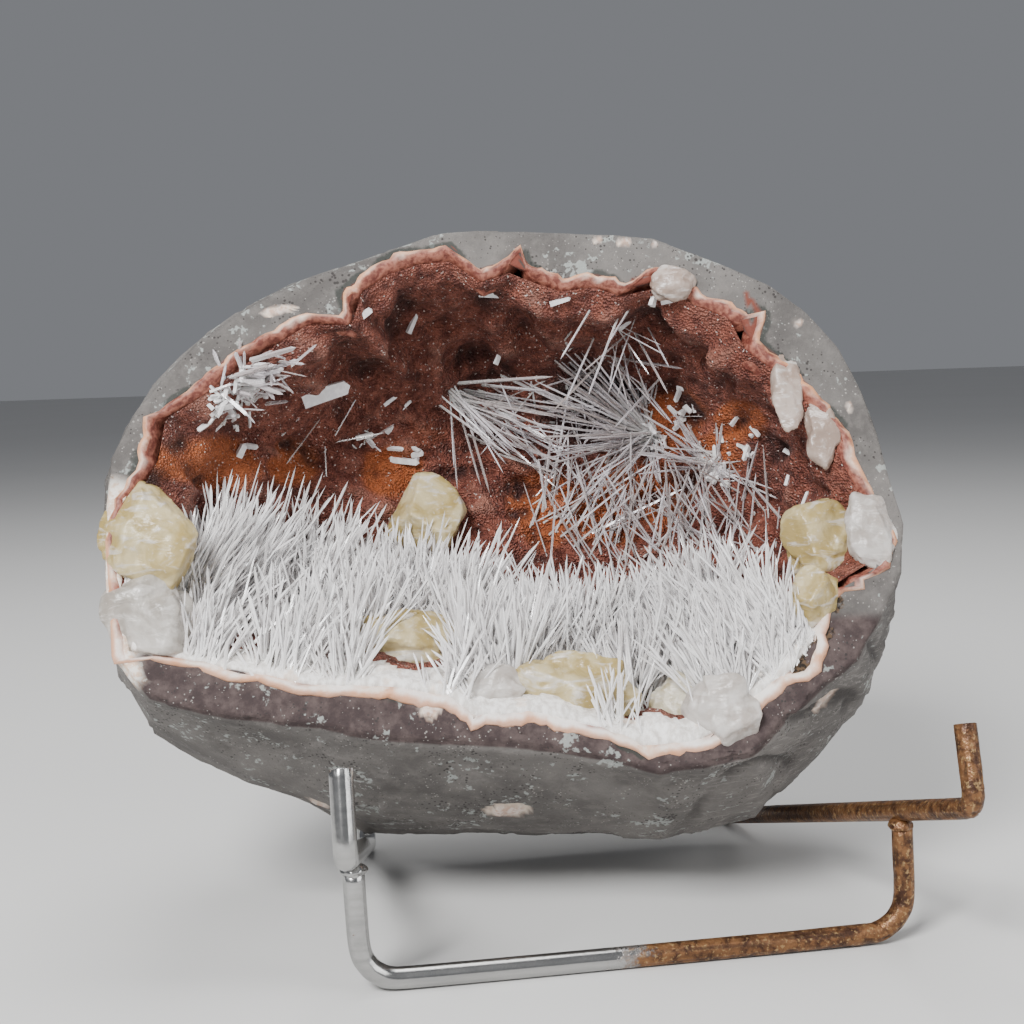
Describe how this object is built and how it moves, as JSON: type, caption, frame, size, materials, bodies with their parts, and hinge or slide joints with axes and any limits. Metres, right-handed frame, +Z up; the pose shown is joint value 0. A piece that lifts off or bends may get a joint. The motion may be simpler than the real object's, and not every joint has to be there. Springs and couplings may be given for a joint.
{
  "type": "scolecite specimen",
  "caption": "Half geode of basalt lined with needle crystals and pale calcite, resting on a bent wire display stand.",
  "frame": {"origin": "middle of the object's footprint, on the surface it stands on", "axes": "+X along the foot's bar to the viewer's right, +Y to the back, +Z up"},
  "size_m": [0.1594, 0.1324, 0.1334],
  "materials": {
    "basalt": "rough",
    "crystals": "glassy crystals on a dull red-brown lining",
    "cradle_steel": "worn, rusted on one side",
    "foot_steel": "worn, rusted on one side"
  },
  "bodies": {
    "root": {"basalt_shell": "basalt", "crystal_crust": "crystals", "cradle_rod": "cradle_steel", "foot_rod": "foot_steel"}
  },
  "joints": []
}
